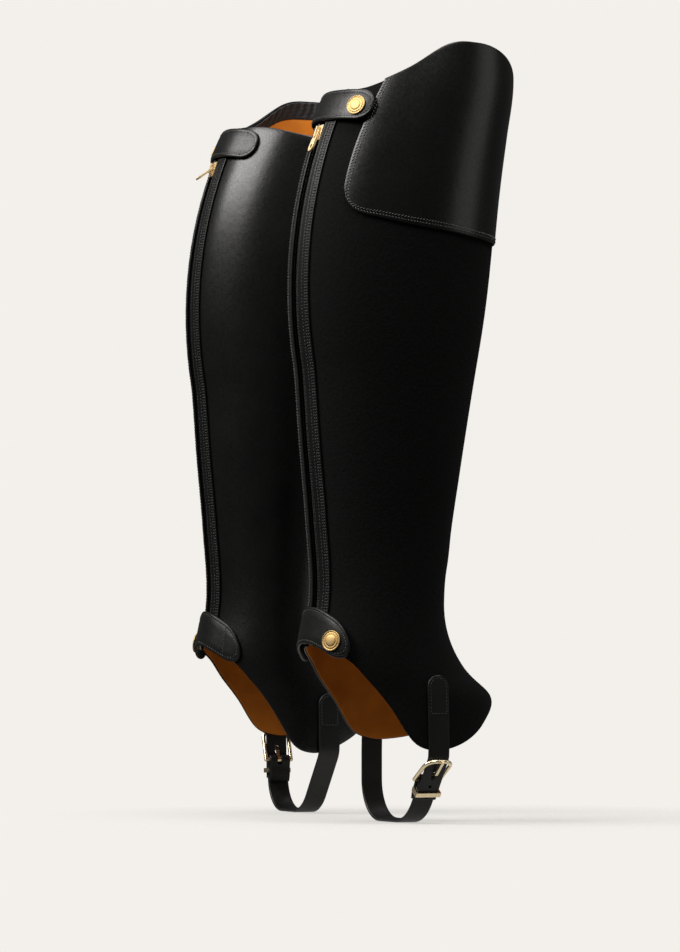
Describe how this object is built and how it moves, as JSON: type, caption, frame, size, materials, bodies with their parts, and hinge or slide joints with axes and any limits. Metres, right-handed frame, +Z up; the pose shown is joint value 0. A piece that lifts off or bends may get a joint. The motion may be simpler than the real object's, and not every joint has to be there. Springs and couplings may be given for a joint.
{
  "type": "pair of leather half chaps",
  "caption": "Pair of tall black leather half chaps with a raised outer rim, a zip down the back, snap tabs and a buckled strap under each foot.",
  "frame": {"origin": "on the ground under the foot straps, midway between the two chaps", "axes": "+X to the toes, +Y to the wearer's left, +Z up the leg"},
  "size_m": [0.1582, 0.3316, 0.5119],
  "materials": {
    "suede_leather": "matt, fine grain",
    "smooth_leather": "smooth, soft sheen",
    "tan_lining": "smooth, matt",
    "gathered_elastic": "ribbed, gathered",
    "strip_leather": "smooth, stitched",
    "zip_tape": "woven",
    "zip_teeth": "moulded",
    "brass_hardware": "polished",
    "strap_leather": "bridle leather"
  },
  "bodies": {
    "chaps": {"left_outer_panel": "suede_leather", "left_inner_panel": "smooth_leather", "left_knee_patch": "smooth_leather", "left_outer_lining": "tan_lining", "left_inner_lining": "tan_lining", "left_rim_facing": "gathered_elastic", "left_outer_zip_strip": "strip_leather", "left_inner_zip_strip": "strip_leather", "left_zip_tape": "zip_tape", "left_zip_teeth": "zip_teeth", "left_zip_stops": "brass_hardware", "left_snap_studs": "brass_hardware", "left_foot_strap": "strap_leather", "left_billet": "strap_leather", "left_top_tab_anchor": "smooth_leather", "left_lower_tab_anchor": "smooth_leather", "right_outer_panel": "suede_leather", "right_inner_panel": "smooth_leather", "right_knee_patch": "smooth_leather", "right_outer_lining": "tan_lining", "right_inner_lining": "tan_lining", "right_rim_facing": "gathered_elastic", "right_outer_zip_strip": "strip_leather", "right_inner_zip_strip": "strip_leather", "right_zip_tape": "zip_tape", "right_zip_teeth": "zip_teeth", "right_zip_stops": "brass_hardware", "right_snap_studs": "brass_hardware", "right_foot_strap": "strap_leather", "right_billet": "strap_leather", "right_top_tab_anchor": "smooth_leather", "right_lower_tab_anchor": "smooth_leather"},
    "left_top_flap": {"left_top_tab": "smooth_leather", "left_top_snap_cap": "brass_hardware", "left_top_snap_socket": "brass_hardware"},
    "left_lower_flap": {"left_lower_tab": "smooth_leather", "left_lower_snap_cap": "brass_hardware", "left_lower_snap_socket": "brass_hardware"},
    "left_slider": {"left_zip_slider": "brass_hardware"},
    "left_pull": {"left_zip_pull": "brass_hardware"},
    "left_frame": {"left_buckle_frame": "brass_hardware"},
    "left_prong": {"left_buckle_prong": "brass_hardware"},
    "left_keeper": {"left_strap_keeper": "brass_hardware"},
    "right_top_flap": {"right_top_tab": "smooth_leather", "right_top_snap_cap": "brass_hardware", "right_top_snap_socket": "brass_hardware"},
    "right_lower_flap": {"right_lower_tab": "smooth_leather", "right_lower_snap_cap": "brass_hardware", "right_lower_snap_socket": "brass_hardware"},
    "right_slider": {"right_zip_slider": "brass_hardware"},
    "right_pull": {"right_zip_pull": "brass_hardware"},
    "right_frame": {"right_buckle_frame": "brass_hardware"},
    "right_prong": {"right_buckle_prong": "brass_hardware"},
    "right_keeper": {"right_strap_keeper": "brass_hardware"}
  },
  "joints": [
    {"name": "left_top_flap_open", "type": "hinge", "parent": "chaps", "child": "left_top_flap", "pos_m": [-0.03629, 0.08091, 0.4692], "axis": [0.3749, -0.0108, 0.927], "range_deg": [0, 110]},
    {"name": "left_lower_flap_open", "type": "hinge", "parent": "chaps", "child": "left_lower_flap", "pos_m": [-0.04901, 0.08434, 0.12101], "axis": [0.1326, 0.0495, 0.9899], "range_deg": [0, 110]},
    {"name": "left_zip_travel", "type": "hinge", "parent": "chaps", "child": "left_slider", "pos_m": [0.23856, 0.09328, 0.35], "axis": [-0.061, -0.9981, 0], "range_deg": [0, 27]},
    {"name": "left_pull_swing", "type": "hinge", "parent": "left_slider", "child": "left_pull", "pos_m": [-0.04817, 0.11082, 0.45383], "axis": [0.061, 0.9981, 0], "range_deg": [-25, 60]},
    {"name": "left_frame_lift", "type": "hinge", "parent": "chaps", "child": "left_frame", "pos_m": [0.01778, 0.1528, 0.0361], "axis": [-0.9981, 0.061, 0], "range_deg": [0, 4]},
    {"name": "left_prong_lift", "type": "hinge", "parent": "left_frame", "child": "left_prong", "pos_m": [0.01778, 0.1528, 0.0361], "axis": [-0.9981, 0.061, 0], "range_deg": [0, 4]},
    {"name": "left_keeper_slide", "type": "slide", "parent": "chaps", "child": "left_keeper", "axis": [-0.0021, -0.0351, -0.9994], "range_m": [0, 0.0012]},
    {"name": "right_top_flap_open", "type": "hinge", "parent": "chaps", "child": "right_top_flap", "pos_m": [-0.04029, -0.08091, 0.4692], "axis": [-0.3749, -0.0108, -0.927], "range_deg": [0, 110]},
    {"name": "right_lower_flap_open", "type": "hinge", "parent": "chaps", "child": "right_lower_flap", "pos_m": [-0.05301, -0.08434, 0.12101], "axis": [-0.1326, 0.0495, -0.9899], "range_deg": [0, 110]},
    {"name": "right_zip_travel", "type": "hinge", "parent": "chaps", "child": "right_slider", "pos_m": [0.23456, -0.09328, 0.35], "axis": [0.061, -0.9981, 0], "range_deg": [0, 27]},
    {"name": "right_pull_swing", "type": "hinge", "parent": "right_slider", "child": "right_pull", "pos_m": [-0.05217, -0.11082, 0.45383], "axis": [-0.061, 0.9981, 0], "range_deg": [0, 90]},
    {"name": "right_frame_lift", "type": "hinge", "parent": "chaps", "child": "right_frame", "pos_m": [0.01307, -0.14121, 0.02917], "axis": [0.9981, 0.061, 0], "range_deg": [0, 4]},
    {"name": "right_prong_lift", "type": "hinge", "parent": "right_frame", "child": "right_prong", "pos_m": [0.01307, -0.14121, 0.02917], "axis": [0.9981, 0.061, 0], "range_deg": [0, 4]},
    {"name": "right_keeper_slide", "type": "slide", "parent": "chaps", "child": "right_keeper", "axis": [-0.0366, 0.5992, -0.7998], "range_m": [0, 0.0012]}
  ]
}
